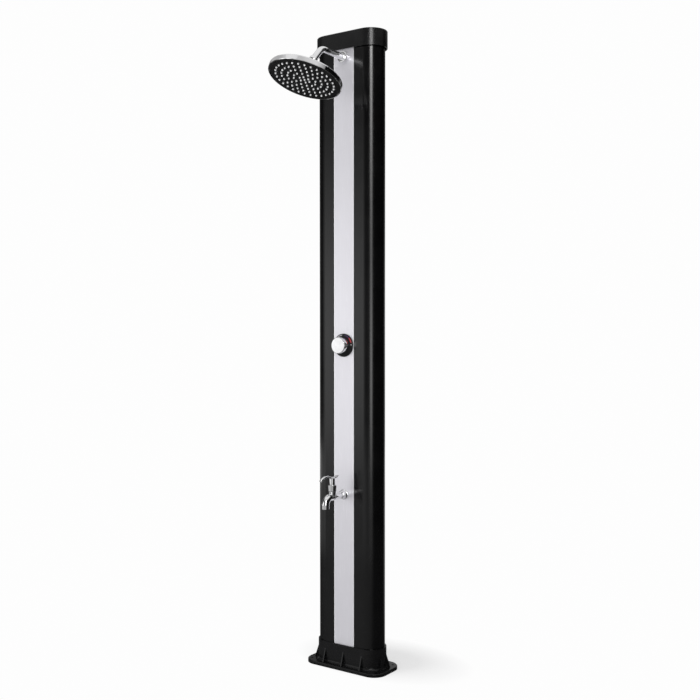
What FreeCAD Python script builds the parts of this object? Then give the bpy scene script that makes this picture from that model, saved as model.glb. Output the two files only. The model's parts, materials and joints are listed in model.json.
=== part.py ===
import FreeCAD, Part
import math
import os

# Outdoor solar shower post, in millimetres.
# Origin: middle of the foot's underside, on the ground. +Z up, the front of the post faces -Y.

Vec = FreeCAD.Vector
UP = Vec(0, 0, 1)
FRONT = Vec(0, -1, 0)
RIGHT = Vec(1, 0, 0)

# ---- driving dimensions ----------------------------------------------------------------------

post_height = 2170.0

# column: an obround tank profile with a service channel behind the front strip
column_width = 254.0
column_depth = 98.0
column_wall = 3.5
channel_width = 92.0
channel_depth = 38.0
channel_web = 3.0
lip_thickness = 3.0
lip_opening = 68.0

# silver strip, clipped flush into the front of the column
strip_width = 82.0
strip_thickness = 3.0
strip_seam = 1.5
clip_leg = 2.0
clip_barb = 1.5
clip_length = 5.6

# tank plugs
plug_depth = 20.0
plug_gap = 0.3
plug_inset = 24.0
tank_floor = 128.0
seal_depth = 2.2
seal_height = 4.0
port_spread = 60.0
port_length = 12.0
port_radius = 6.5

# foot
foot_width = 316.0
foot_depth = 153.0
foot_corner = 46.8
flange_height = 11.5
flange_edge = 2.5
flange_skin = 4.0
rim_wall = 4.0
collar_wall = 4.7
collar_top = 81.0
collar_blend = 8.0
foot_floor = 12.0
ledge_width = 16.0
drain_hole = 8.0
gusset_thickness = 4.0
gusset_reach = 15.0
gusset_drop = 23.5
gusset_spacing = 76.0
gusset_end_angle = 20.0
bolt_spread_x = 272.0
bolt_spread_y = 99.0
bolt_hole = 8.5
bolt_boss = 20.0

# cap
cap_height = 58.0
cap_overhang = 8.0
cap_wall = 3.0
cap_top_wall = 3.5
cap_edge = 2.5
locating_wall = 2.5
locating_depth = 26.0

# screws
screw_radius = 1.9
screw_head = 4.0
screw_head_height = 2.6
screw_length = 12.0
screw_spread = 60.0
screw_rise = 12.0

# clearances
socket_gap = 0.3
seat_gap = 0.3
running_gap = 0.05
thread_gap = 0.1
turning_gap = 0.1

# pipes inside the post
pipe_radius = 8.2
pipe_wall = 1.6
pipe_bend = 14.0
pipe_lane = 22.0
socket_wall = 2.3
hot_port_drop = 106.0

# water inlet and drain at the lower back
inlet_height = 105.0
inlet_thread = 20.95
inlet_stub = 16.0
inlet_bore = 13.0
inlet_flange = 30.0
inlet_flange_thickness = 4.0
locknut_thickness = 6.0
washer_thickness = 2.0
tee_radius = 11.0
tee_length = 26.0
drain_thread = 16.0
drain_stub = 14.0
drain_flange = 4.0
cap_grip = 3.5
cap_flutes = 8
flute_radius = 2.2
tail_overlap = 10.0

# mixer
mixer_height = 1110.0
mixer_barrel = 30.0
mixer_length = 60.0
mixer_thread = 32.0
mixer_boss = 8.5
mixer_socket = 14.0
spindle_depth = 10.0
knob_hub_wall = 3.5
grub_radius = 1.5
cartridge_radius = 13.0
locknut_across = 38.0
ring_radius = 39.5
ring_face = 28.0
ring_rim = 2.0
ring_rise = 8.0
ring_floor = 2.0
gasket_thickness = 1.0
knob_radius = 28.0
knob_length = 25.0
knob_edge = 2.5
knob_wall = 2.5
knob_gap = 1.3
spindle_radius = 4.0

# foot tap
tap_height = 599.5
tap_reach = 66.0
tap_thread = 20.95
elbow_wall = 3.0
elbow_neck = 9.0
elbow_well = 14.0
sleeve_half = 16.0
tap_flange_radius = 17.0
tap_flange_depth = 9.0
tap_barrel = 21.0
tap_hex = 24.0
spout_radius = 12.6
spout_bend = 24.0
spout_drop = 35.0
spout_bore = 9.5
bonnet_rise = 17.0
bonnet_length = 24.0
bonnet_radius = 15.2
lever_hub = 9.5
lever_rise = 64.0
lever_hub_rise = 8.0
lever_turn = 20.0
disc_thickness = 3.0
spout_overhang = 38.0
spout_rise = 1.5
chamber_bore = 9.5
disc_rise = 4.0
hex_length = 7.5
neck_swell = 14.0
lever_screw_recess = 1.4
lever_screw_head = 3.4

# sections along the lever: distance from the spindle towards the front, height of the middle
# above the hub's top, half width, half thickness
lever_sections = ((-23.5, 8.2, 2.6, 2.0), (-20.5, 6.4, 4.2, 3.4), (-14.0, 3.2, 4.4, 3.8),
                  (-7.0, 1.2, 4.9, 3.8), (0.0, 0.6, 7.4, 3.7), (8.0, 1.8, 5.0, 3.7),
                  (16.0, 5.4, 4.4, 3.6), (24.0, 6.4, 4.6, 3.7), (32.0, 4.2, 5.2, 4.0),
                  (40.0, -0.8, 6.0, 4.6), (46.5, -6.4, 5.6, 4.4), (49.0, -8.6, 3.4, 2.6))

# shower arm
arm_drop = 84.0
arm_radius = 11.0
arm_wall = 1.6
arm_reach = 125.0
arm_bend = 38.0
arm_angle = 45.0
arm_run = 66.0
escutcheon_radius = 19.5
escutcheon_depth = 11.0
escutcheon_wall = 1.5
arm_socket = 16.0
waterway_radius = 5.0

# ball joint
joint_nut = 28.0
joint_nut_length = 14.0
joint_nut_grip = 7.0
joint_washer = 1.5
ball_radius = 12.0
ball_offset = 91.0
stud_radius = 5.0
seat_wall = 2.0
seat_below = 8.0
seat_above = 5.5
ring_below = 14.0
ring_shoulder = 1.5
mouth_height = 6.0
ring_grooves = 16
groove_radius = 1.5
stud_waterway = 2.8

# shower head, built face down about the ball's centre
head_radius = 123.0
head_rim = 19.0
head_wall = 2.2
head_to_ball = 56.0
head_tilt = 20.0
head_lean = 5.5
plate_radius = 119.5
plate_thickness = 3.0
plate_recess = 0.8
neck_radius = 17.0
ring_nut_radius = 20.0
ring_nut_top = 9.0
neck_drop = 21.5
dome_middle = 70.0
dome_rise = 5.2
dome_top = 32.0
ledge_lip = 1.2
nozzle_radius = 3.2
nozzle_length = 3.2
nozzle_margin = 17.5
nozzle_first = 17.0
nozzle_pitch = 20.3
nozzle_turn = 53.0

# ---- values worked out from the driving dimensions ------------------------------------------

front_y = -column_depth / 2
back_y = column_depth / 2
column_bottom = foot_floor
column_top = post_height - cap_top_wall
cap_bottom = post_height - cap_height
tank_width = column_width - 2 * column_wall
tank_depth = column_depth - 2 * column_wall
strip_back = front_y + strip_thickness
lip_back = strip_back + lip_thickness
channel_back = front_y + channel_depth
block_half = channel_width / 2 + channel_web
block_back = channel_back + channel_web
pipe_y = (lip_back + channel_back) / 2
pipe_bore = pipe_radius + running_gap
socket_radius = pipe_bore + socket_wall
top_plug_base = column_top - plug_inset - plug_depth
port_y = (block_back + back_y - column_wall) / 2
tee_front = port_y - tee_length / 2
tee_back = port_y + tee_length / 2
arm_height = post_height - arm_drop
bonnet_base = tap_height + bonnet_rise
bonnet_rim = bonnet_base + bonnet_length
lever_hub_top = tap_height + lever_rise
lever_hub_low = bonnet_base + lever_hub_rise
disc_floor = tap_height + disc_rise
valve_y = front_y - tap_reach
knob_back = front_y - gasket_thickness - ring_rise - knob_gap


# ---- shape helpers --------------------------------------------------------------------------

def box(x0, x1, y0, y1, z0, z1):
    return Part.makeBox(x1 - x0, y1 - y0, z1 - z0, Vec(x0, y0, z0))


def rod(radius, start, end):
    # a round bar between two points
    run = end - start
    return Part.makeCylinder(radius, run.Length, start, run)


def tube(outer, inner, start, end):
    return rod(outer, start, end).cut(rod(inner, start, end))


def outline(points):
    # closed face in the XY plane; a pair of points in one entry is an arc through the first
    edges = []
    start = Vec(*points[0], 0)
    here = start
    for entry in points[1:]:
        if isinstance(entry[0], tuple):
            there = Vec(*entry[1], 0)
            edges.append(Part.Arc(here, Vec(*entry[0], 0), there).toShape())
        else:
            there = Vec(*entry, 0)
            edges.append(Part.makeLine(here, there))
        here = there
    if here.distanceToPoint(start) > 1e-6:
        edges.append(Part.makeLine(here, start))
    return Part.Face(Part.Wire(edges))


def turned(points, base, axis):
    # a lathe part: the outline's first value is a radius, its second a distance along the axis
    face = outline(points)
    face.rotate(Vec(0, 0, 0), RIGHT, 90)
    solid = face.revolve(Vec(0, 0, 0), UP, 360)
    solid.Placement = FreeCAD.Placement(base, FreeCAD.Rotation(UP, axis)).multiply(solid.Placement)
    return solid


def obround(width, depth, grow=0.0):
    # a straight-sided face with round ends, grown evenly all round
    half = (width - depth) / 2
    r = depth / 2 + grow
    return outline([(-half, -r), (half, -r), ((half + r, 0), (half, r)), (-half, r),
                    ((-half - r, 0), (-half, -r))])


def rounded_plate(width, depth, corner):
    x, y = width / 2, depth / 2
    k = corner * (1 - math.sqrt(0.5))
    return outline([(-x + corner, -y), (x - corner, -y), ((x - k, -y + k), (x, -y + corner)),
                    (x, y - corner), ((x - k, y - k), (x - corner, y)), (-x + corner, y),
                    ((-x + k, y - k), (-x, y - corner)), (-x, -y + corner),
                    ((-x + k, -y + k), (-x + corner, -y))])


def extruded(face, z0, z1):
    face.translate(Vec(0, 0, z0))
    return face.extrude(Vec(0, 0, z1 - z0))


def hexagon(across, start, end):
    # a hexagonal bar along Z or Y between two points
    run = end - start
    r = across / math.sqrt(3)
    corners = [(r * math.cos(math.radians(60 * i)), r * math.sin(math.radians(60 * i)))
               for i in range(6)]
    bar = outline(corners).extrude(Vec(0, 0, run.Length))
    bar.Placement = FreeCAD.Placement(start, FreeCAD.Rotation(UP, run))
    return bar


def route(points, bends):
    # straight runs joined by tangent arcs
    edges = []
    here = points[0]
    for i in range(1, len(points) - 1):
        into = (points[i] - points[i - 1]).normalize()
        out = (points[i + 1] - points[i]).normalize()
        turn = into.getAngle(out)
        reach = bends[i - 1] * math.tan(turn / 2)
        first = points[i] - into * reach
        last = points[i] + out * reach
        inward = (out - into).normalize()
        centre = points[i] + inward * (bends[i - 1] / math.cos(turn / 2))
        middle = centre - inward * bends[i - 1]
        edges.append(Part.makeLine(here, first))
        edges.append(Part.Arc(first, middle, last).toShape())
        here = last
    edges.append(Part.makeLine(here, points[-1]))
    return Part.Wire(edges)


def bent_bar(points, bends, radius):
    ring = Part.Wire([Part.makeCircle(radius, points[0], points[1] - points[0])])
    return route(points, bends).makePipeShell([ring], True, True)


def bent_pipe(points, bends, outer, wall):
    return bent_bar(points, bends, outer).cut(bent_bar(points, bends, outer - wall))


def joined(shapes):
    first = shapes[0]
    return first.fuse(shapes[1:]).removeSplitter() if len(shapes) > 1 else first


def without(solid, tools):
    return solid.cut(Part.makeCompound(tools))


# ---- column ---------------------------------------------------------------------------------

def channel_block(gap, z0, z1):
    return box(-block_half - gap, block_half + gap, front_y - column_wall, block_back + gap, z0, z1)


def make_column_shell():
    z0, z1 = column_bottom, column_top
    skin = extruded(obround(column_width, column_depth), z0, z1)
    tank = extruded(obround(tank_width, tank_depth), z0, z1)
    block = channel_block(0, z0, z1).common(skin)
    half = channel_width / 2
    seat = strip_width / 2 + strip_seam
    profile = joined([skin.cut(tank), block])
    profile = without(profile, [
        box(-half, half, lip_back, channel_back, z0, z1),
        box(-lip_opening / 2, lip_opening / 2, front_y - 1, lip_back + 1, z0, z1),
        box(-seat, seat, front_y - 1, strip_back, z0, z1)])
    inlet = Vec(0, 0, inlet_height)
    drain = Vec(port_spread, 0, inlet_height)
    hot = Vec(pipe_lane, channel_back - 1, column_top - hot_port_drop)
    holes = [
        rod(inlet_thread / 2 + thread_gap, inlet, inlet + Vec(0, column_depth, 0)),
        rod(pipe_radius + 2 * seat_gap, inlet + Vec(0, pipe_y, 0), inlet + Vec(0, 0, 0)),
        rod(drain_thread / 2 + thread_gap, drain, drain + Vec(0, column_depth, 0)),
        rod(pipe_bore, hot, hot + Vec(0, channel_web + 2, 0))]
    for spot in screw_spots():
        holes.append(rod(screw_radius + running_gap, spot - Vec(0, screw_length, 0), spot))
    return without(profile, holes)


def make_front_panel():
    half = strip_width / 2
    leg = lip_opening / 2 - seat_gap
    catch = lip_back + seat_gap
    tip = strip_back + clip_length
    right = [(half, front_y + 0.4), (half, strip_back), (leg, strip_back), (leg, catch),
             (leg + clip_barb, catch), (leg - 0.6, tip), (leg - clip_leg, tip),
             (leg - clip_leg, strip_back)]
    left = [(-x, y) for x, y in reversed(right)]
    profile = outline([(half - 0.4, front_y)] + right + left + [(0.4 - half, front_y)])
    panel = extruded(profile, column_bottom, column_top)
    holes = []
    for height, radius in ((arm_height, arm_radius + 1), (mixer_height, mixer_thread / 2 + 0.5),
                           (tap_height, tap_thread / 2 + 0.5)):
        here = Vec(0, front_y - 1, height)
        holes.append(rod(radius, here, here + Vec(0, clip_length + strip_thickness + 2, 0)))
    return without(panel, holes)


def tank_slice(gap, z0, z1):
    # the tank's own C-shaped chamber, drawn in by an even gap
    chamber = extruded(obround(tank_width, tank_depth, -gap), z0, z1)
    return chamber.cut(channel_block(gap, z0, z1))


def plug_blank(z0):
    # a plug with a groove round its middle for the seal
    z1 = z0 + plug_depth
    groove = (z0 + z1 - seal_height) / 2
    ring = tank_slice(plug_gap, groove, groove + seal_height)
    ring = ring.cut(tank_slice(plug_gap + seal_depth, groove, groove + seal_height))
    return tank_slice(plug_gap, z0, z1).cut(ring), groove


def make_seal(z0):
    # a rubber loop that fills the plug's groove and reaches the tank wall
    groove = plug_blank(z0)[1]
    low, high = groove + running_gap, groove + seal_height - running_gap
    loop = tank_slice(running_gap, low, high)
    return loop.cut(tank_slice(plug_gap + seal_depth - running_gap, low, high))


def port_spots():
    return [Vec(side * port_spread, 0, tank_floor) for side in (-1, 1)]


def make_tank_bottom_plug():
    plug = plug_blank(tank_floor)[0]
    ports = []
    bores = []
    for spot in port_spots():
        spot = spot + Vec(0, port_y, 0)
        end = spot - Vec(0, 0, port_length)
        ports.append(rod(port_radius, spot, end))
        bores.append(rod(port_radius - pipe_wall, spot + Vec(0, 0, plug_depth), end))
    return without(joined([plug] + ports), bores)


def make_tank_top_plug():
    return plug_blank(top_plug_base)[0]


# ---- foot and cap ---------------------------------------------------------------------------

def gusset_places(grow):
    # wall point and outward direction of each gusset, on an outline grown from the column's
    r = column_depth / 2 + grow
    half = (column_width - column_depth) / 2
    places = []
    for side in (-1, 1):
        for x in (-gusset_spacing, 0.0, gusset_spacing):
            places.append((Vec(x, side * r, 0), Vec(0, side, 0)))
        for angle in (-gusset_end_angle, gusset_end_angle):
            turn = math.radians(angle)
            out = Vec(side * math.cos(turn), math.sin(turn), 0)
            places.append((Vec(side * half, 0, 0) + out * r, out))
    return places


def fin(place, out, profile, thickness):
    # an upright plate: the profile's first value runs outward, its second upward
    face = outline(profile)
    face.rotate(Vec(0, 0, 0), RIGHT, 90)
    plate = face.extrude(Vec(0, thickness, 0))
    plate.translate(Vec(0, -thickness / 2, 0))
    angle = math.degrees(math.atan2(out.y, out.x))
    plate.rotate(Vec(0, 0, 0), UP, angle)
    plate.translate(place)
    return plate


def flat_edges_at(solid, z, reach_x, reach_y):
    # edges that lie at one height, inside a rectangle about the axis
    found = []
    for edge in solid.Edges:
        b = edge.BoundBox
        level = abs(b.ZMin - z) < 0.01 and abs(b.ZMax - z) < 0.01
        if level and max(-b.XMin, b.XMax) < reach_x and max(-b.YMin, b.YMax) < reach_y:
            found.append(edge)
    return found


def bolt_spots():
    return [Vec(sx * bolt_spread_x / 2, sy * bolt_spread_y / 2, 0) for sx in (-1, 1)
            for sy in (-1, 1)]


def make_base_foot():
    collar_grow = socket_gap + collar_wall
    flange = extruded(rounded_plate(foot_width, foot_depth, foot_corner), 0, flange_height)
    collar = extruded(obround(column_width, column_depth, collar_grow), 0, collar_top)
    body = joined([flange, collar])
    reach_x = column_width / 2 + collar_grow + 1
    reach_y = column_depth / 2 + collar_grow + 1
    body = body.makeFillet(collar_blend, flat_edges_at(body, flange_height, reach_x, reach_y))
    rim = [e for e in flat_edges_at(body, flange_height, foot_width, foot_depth)
           if max(-e.BoundBox.XMin, e.BoundBox.XMax) > foot_width / 2 - foot_corner - 1
           or max(-e.BoundBox.YMin, e.BoundBox.YMax) > foot_depth / 2 - 1]
    rim = [e for e in rim if not on_outline(e, collar_grow + collar_blend)]
    body = body.makeFillet(flange_edge, rim)
    foot = flange_height - 0.5
    slope = [(-1, foot), (gusset_reach, foot), (0, collar_top - gusset_drop),
             (-1, collar_top - gusset_drop)]
    body = joined([body] + [fin(p, out, slope, gusset_thickness)
                            for p, out in gusset_places(collar_grow)])
    # hollow underside between the rim, the collar and the bolt bosses
    pocket_top = flange_height - flange_skin
    pocket = extruded(rounded_plate(foot_width - 2 * rim_wall, foot_depth - 2 * rim_wall,
                                    foot_corner - rim_wall), 0, pocket_top)
    kept = [extruded(obround(column_width, column_depth, collar_grow), 0, pocket_top)]
    kept += [rod(bolt_boss / 2, p, p + Vec(0, 0, pocket_top)) for p in bolt_spots()]
    web = [(-1, 0), (foot_depth / 2, 0), (foot_depth / 2, pocket_top), (-1, pocket_top)]
    kept += [fin(p, out, web, gusset_thickness * 0.75) for p, out in gusset_places(collar_grow)]
    pocket = without(pocket, kept)
    inner = extruded(obround(column_width, column_depth, -ledge_width), -1,
                     foot_floor - flange_skin)
    ribs = [box(x - gusset_thickness / 2, x + gusset_thickness / 2, -column_depth, column_depth, 0,
                foot_floor) for x in (-gusset_spacing, 0, gusset_spacing)]
    ribs.append(box(-column_width, column_width, -gusset_thickness / 2, gusset_thickness / 2, 0,
                    foot_floor))
    cuts = [pocket, without(inner, ribs),
            extruded(obround(column_width, column_depth, socket_gap), foot_floor, collar_top + 1)]
    for side in (-1, 1):
        hole = Vec(side * gusset_spacing / 2, column_depth / 4 - ledge_width / 4, -1)
        cuts.append(rod(drain_hole / 2, hole, hole + Vec(0, 0, foot_floor + 2)))
    cuts += [rod(bolt_hole / 2, p - UP, p + Vec(0, 0, flange_height + 1)) for p in bolt_spots()]
    for spot in screw_spots()[2:]:
        cuts.append(rod(screw_radius + thread_gap, spot - Vec(0, screw_length, 0), spot + Vec(0, 9, 0)))
    return without(body, cuts)


def on_outline(edge, grow):
    # whether an edge's middle lies on the column's outline grown by this much
    half = (column_width - column_depth) / 2
    p = edge.valueAt((edge.FirstParameter + edge.LastParameter) / 2)
    x = max(0.0, abs(p.x) - half)
    return abs(math.hypot(x, p.y) - column_depth / 2 - grow) < 0.5


def make_top_cap():
    inner_grow = cap_overhang - cap_wall
    ring_grow = socket_gap + locating_wall
    body = extruded(obround(column_width, column_depth, cap_overhang), cap_bottom, post_height)
    top_edges = flat_edges_at(body, post_height, column_width, column_width)
    body = body.makeFillet(cap_edge, top_edges)
    cavity = extruded(obround(column_width, column_depth, inner_grow), cap_bottom - 1, column_top)
    ring = extruded(obround(column_width, column_depth, ring_grow), column_top - locating_depth,
                    column_top)
    stays = [(-0.5, column_top - locating_depth), (inner_grow - ring_grow + 0.5,
             column_top - locating_depth), (inner_grow - ring_grow + 0.5, column_top + 0.5),
             (-0.5, column_top + 0.5)]
    kept = [ring] + [fin(p, out, stays, locating_wall) for p, out in gusset_places(ring_grow)]
    for spot in screw_spots()[:2]:
        kept.append(rod(screw_head, spot, spot + Vec(0, cap_overhang, 0)))
    cavity = without(cavity, kept)
    socket = extruded(obround(column_width, column_depth, socket_gap), cap_bottom - 1, column_top)
    cuts = [cavity, socket]
    for spot in screw_spots()[:2]:
        cuts.append(rod(screw_radius + thread_gap, spot - Vec(0, screw_length, 0),
                        spot + Vec(0, cap_overhang + 1, 0)))
    return without(body, cuts)


def screw_spots():
    # on the column's back face: two through the cap's skirt, two through the foot's collar
    cap_z = column_top - locating_depth / 2
    foot_z = (foot_floor + collar_top) / 2 + screw_rise
    return [Vec(side * screw_spread, back_y, z) for z in (cap_z, foot_z) for side in (-1, 1)]


def screw(seat):
    # pan-head screw driven towards the front, its head resting at the seat
    head = turned([(0, 0), (screw_head, 0), ((screw_head * 0.75, screw_head_height * 0.8),
                   (0, screw_head_height))], seat, Vec(0, 1, 0))
    shank = rod(screw_radius, seat - Vec(0, screw_length, 0), seat)
    slot = box(seat.x - 0.5, seat.x + 0.5, seat.y + screw_head_height - 1, seat.y + 9,
               seat.z - 2.2, seat.z + 2.2)
    return joined([head, shank]).cut(slot)


def make_cap_screws():
    return [screw(p + Vec(0, cap_overhang, 0)) for p in screw_spots()[:2]]


def make_foot_screws():
    return [screw(p + Vec(0, socket_gap + collar_wall, 0)) for p in screw_spots()[2:]]


# ---- water inlet, drain and inner pipes -----------------------------------------------------

def make_inlet_fitting():
    face = back_y + washer_thickness
    middle = Vec(0, 0, inlet_height)
    tail_end = Vec(0, tee_back - tail_overlap, inlet_height)
    flange = rod(inlet_flange / 2, middle + Vec(0, face, 0),
                 middle + Vec(0, face + inlet_flange_thickness, 0))
    stub_end = face + inlet_flange_thickness + inlet_stub
    stub = rod(inlet_thread / 2, middle + Vec(0, back_y - column_wall - locknut_thickness - 2, 0),
               middle + Vec(0, stub_end, 0))
    tail = rod(pipe_radius, tail_end, middle + Vec(0, back_y, 0))
    body = joined([flange, stub, tail])
    bore = rod(inlet_bore / 2, tail_end - Vec(0, 1, 0), middle + Vec(0, stub_end + 1, 0))
    return body.cut(bore)


def make_inlet_washer():
    at = Vec(0, back_y, inlet_height)
    return tube(inlet_flange / 2, inlet_thread / 2 + thread_gap, at, at + Vec(0, washer_thickness, 0))


def make_inlet_locknut():
    at = Vec(0, back_y - column_wall, inlet_height)
    end = at - Vec(0, locknut_thickness, 0)
    return hexagon(inlet_flange - 2, end, at).cut(rod(inlet_thread / 2 + running_gap, end, at))


def make_inlet_tee():
    middle = Vec(0, 0, inlet_height)
    run = rod(tee_radius, middle + Vec(0, tee_front, 0), middle + Vec(0, tee_back, 0))
    arm = rod(tee_radius, middle + Vec(0, port_y, 0), middle + Vec(-tee_length, port_y, 0))
    bores = [rod(pipe_bore, middle + Vec(0, tee_front - 1, 0), middle + Vec(0, tee_back + 1, 0)),
             rod(pipe_bore, middle + Vec(0, port_y, 0), middle + Vec(-tee_length - 1, port_y, 0))]
    return without(joined([run, arm]), bores)


def make_fill_pipe():
    start = Vec(tail_overlap - tee_length, port_y, inlet_height)
    corner = Vec(-port_spread, port_y, inlet_height)
    end = Vec(-port_spread, port_y, tank_floor - 0.5)
    return bent_pipe([start, corner, end], [pipe_bend * 0.8], pipe_radius, pipe_wall)


def make_drain_elbow():
    start = Vec(port_spread, port_y, tank_floor - 0.5)
    corner = Vec(port_spread, port_y, inlet_height)
    inside = Vec(port_spread, back_y - column_wall, inlet_height)
    end = Vec(port_spread, back_y + drain_stub, inlet_height)
    elbow = bent_bar([start, corner, end], [pipe_bend * 0.8], drain_thread / 2)
    flange = rod(drain_thread / 2 + drain_flange, inside - Vec(0, pipe_wall, 0), inside)
    bore = bent_bar([start, corner, end], [pipe_bend * 0.8], port_radius + running_gap)
    return joined([elbow, flange]).cut(bore)


def make_drain_washer():
    at = Vec(port_spread, back_y, inlet_height)
    return tube(drain_thread / 2 + drain_flange, drain_thread / 2 + thread_gap, at,
                at + Vec(0, washer_thickness, 0))


def make_drain_cap():
    # a round cap with finger flutes, screwed over the drain's stub
    at = Vec(port_spread, back_y + washer_thickness, inlet_height)
    depth = drain_stub - washer_thickness
    end = at + Vec(0, depth + 2.5, 0)
    outer = drain_thread / 2 + cap_grip
    cap = rod(outer, at, end).cut(rod(drain_thread / 2 + running_gap, at, at + Vec(0, depth + 0.2, 0)))
    flutes = []
    for i in range(cap_flutes):
        turn = 2 * math.pi * (i + 0.5) / cap_flutes
        off = Vec(math.cos(turn), 0, math.sin(turn)) * (outer + flute_radius / 2)
        flutes.append(rod(flute_radius, at + off - Vec(0, 1, 0), end + off + Vec(0, 1, 0)))
    return without(cap, flutes)


def make_cold_pipe():
    low = Vec(0, pipe_y, inlet_height)
    points = [Vec(0, tee_front + 9, inlet_height), low,
              Vec(-pipe_lane, pipe_y, inlet_height + pipe_lane),
              Vec(-pipe_lane, pipe_y, mixer_height - mixer_barrel / 2)]
    return bent_pipe(points, [pipe_bend, 2 * pipe_bend], pipe_radius, pipe_wall)


def make_hot_pipe():
    z = column_top - hot_port_drop
    points = [Vec(pipe_lane, block_back + 6, z), Vec(pipe_lane, pipe_y, z),
              Vec(pipe_lane, pipe_y, mixer_height + mixer_barrel / 2)]
    return bent_pipe(points, [pipe_bend], pipe_radius, pipe_wall)


def make_riser_pipe():
    low = Vec(0, pipe_y, mixer_height + mixer_barrel / 2)
    high = Vec(0, pipe_y, arm_height - arm_radius - 1)
    return tube(pipe_radius, pipe_radius - pipe_wall, low, high)


# ---- mixer ----------------------------------------------------------------------------------

def make_mixer_body():
    middle = Vec(0, pipe_y, mixer_height)
    reach = mixer_barrel / 2 + mixer_socket
    half = Vec(mixer_length / 2, 0, 0)
    barrel = rod(mixer_barrel / 2, middle - half, middle + half)
    cold = middle - Vec(pipe_lane, 0, 0)
    hot = middle + Vec(pipe_lane, 0, 0)
    down, up = Vec(0, 0, -reach), Vec(0, 0, reach)
    boss_end = Vec(0, front_y - mixer_boss, mixer_height)
    foot = Vec(0, channel_back, mixer_height)
    body = joined([barrel, rod(socket_radius, cold, cold + down), rod(socket_radius, hot, hot + up),
                   rod(socket_radius, middle, middle + up), rod(mixer_thread / 2, middle, boss_end),
                   rod(mixer_thread / 2, middle, foot)])
    seat = mixer_barrel / 2
    bores = [rod(pipe_bore, cold - Vec(0, 0, seat), cold + down * 1.1),
             rod(pipe_bore, hot + Vec(0, 0, seat), hot + up * 1.1),
             rod(pipe_bore, middle + Vec(0, 0, seat), middle + up * 1.1),
             rod(cartridge_radius + running_gap, boss_end - Vec(0, 1, 0),
                 Vec(0, pipe_y, mixer_height))]
    return without(body, bores)


def make_mixer_cartridge():
    inner = Vec(0, pipe_y, mixer_height)
    outer = Vec(0, front_y - mixer_boss, mixer_height)
    body = rod(cartridge_radius, inner, outer)
    floor = inner + FRONT * spindle_depth
    return body.cut(rod(spindle_radius + running_gap, floor, outer + FRONT))


def make_dial_gasket():
    at = Vec(0, front_y, mixer_height)
    return tube(ring_radius - 1, mixer_thread / 2 + 1, at, at + FRONT * gasket_thickness)


def make_dial_ring():
    inner = knob_radius - 3.5
    hole = mixer_thread / 2 + thread_gap
    profile = [(hole, 0), (ring_radius, 0), (ring_radius, ring_rim),
               ((ring_radius - 0.4, ring_rim + 0.9), (ring_radius - 1.2, ring_rim + 1.2)),
               (ring_face, ring_rise), (inner, ring_rise), (inner, ring_floor), (hole, ring_floor)]
    return turned(profile, Vec(0, front_y - gasket_thickness, mixer_height), FRONT)


def make_mixer_locknut():
    at = Vec(0, front_y - gasket_thickness - ring_floor, mixer_height)
    end = at + FRONT * (ring_rise - ring_floor - 1)
    return hexagon(locknut_across, at, end).cut(rod(mixer_thread / 2 + running_gap, at, end))


def make_mixer_knob():
    r = knob_radius
    e = knob_edge
    k = e * (1 - math.sqrt(0.5))
    hub = spindle_radius + knob_hub_wall
    profile = [(hub, 2), (hub, knob_length - knob_wall), (r - knob_wall, knob_length - knob_wall),
               (r - knob_wall, 0), (r - 0.6, 0), (r, 0.6), (r, knob_length - e),
               ((r - k, knob_length - k), (r - e, knob_length)), (0, knob_length),
               (0, knob_length - knob_wall - 1), (spindle_radius + running_gap,
                knob_length - knob_wall - 1), (spindle_radius + running_gap, 2)]
    knob = turned(profile, Vec(0, knob_back, mixer_height), FRONT)
    pin = grub_place()
    return knob.cut(rod(grub_radius + running_gap, pin, pin - Vec(0, 0, r)))


def grub_place():
    return Vec(0, knob_back - knob_length / 2, mixer_height - spindle_radius - 0.1)


def make_knob_screw():
    # grub screw in the knob's hub, reached through the hole in its underside
    top = grub_place()
    hub = spindle_radius + knob_hub_wall
    return rod(grub_radius, top, Vec(top.x, top.y, mixer_height - hub + 0.2))


def make_mixer_spindle():
    inner = Vec(0, pipe_y - spindle_depth - seat_gap, mixer_height)
    outer = Vec(0, knob_back - knob_length + knob_wall + 1.4, mixer_height)
    return rod(spindle_radius, inner, outer)


# ---- foot tap -------------------------------------------------------------------------------

def on_valve(z):
    return Vec(0, valve_y, z)


def make_tap_elbow():
    # a brass tee: a sleeve on the cold pipe, and a threaded socket behind the panel
    pipe = Vec(-pipe_lane, pipe_y, tap_height)
    middle = Vec(0, pipe_y, tap_height)
    mouth = Vec(0, lip_back, tap_height)
    foot = Vec(0, channel_back, tap_height)
    up = Vec(0, 0, sleeve_half)
    outer = tap_thread / 2 + elbow_wall
    body = joined([rod(socket_radius, pipe - up, pipe + up), rod(elbow_neck, pipe, middle),
                   rod(outer, middle, mouth), rod(outer, middle, foot)])
    well_end = mouth + Vec(0, elbow_well, 0)
    return without(body, [rod(pipe_bore, pipe - up * 1.1, pipe + up * 1.1),
                          rod(tap_thread / 2 + running_gap, mouth + FRONT, well_end)])


def make_tap_flange():
    # a thin bell-shaped wall plate
    r0, r1, d = tap_flange_radius, tap_barrel / 2 + 2.0, tap_flange_depth
    hole = tap_thread / 2 + thread_gap
    profile = [(hole, 0), (r0, 0), (r0, 1.2), ((r1 + 1.6, d * 0.45), (r1, d)), (hole, d)]
    return turned(profile, Vec(0, front_y, tap_height), FRONT)


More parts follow.
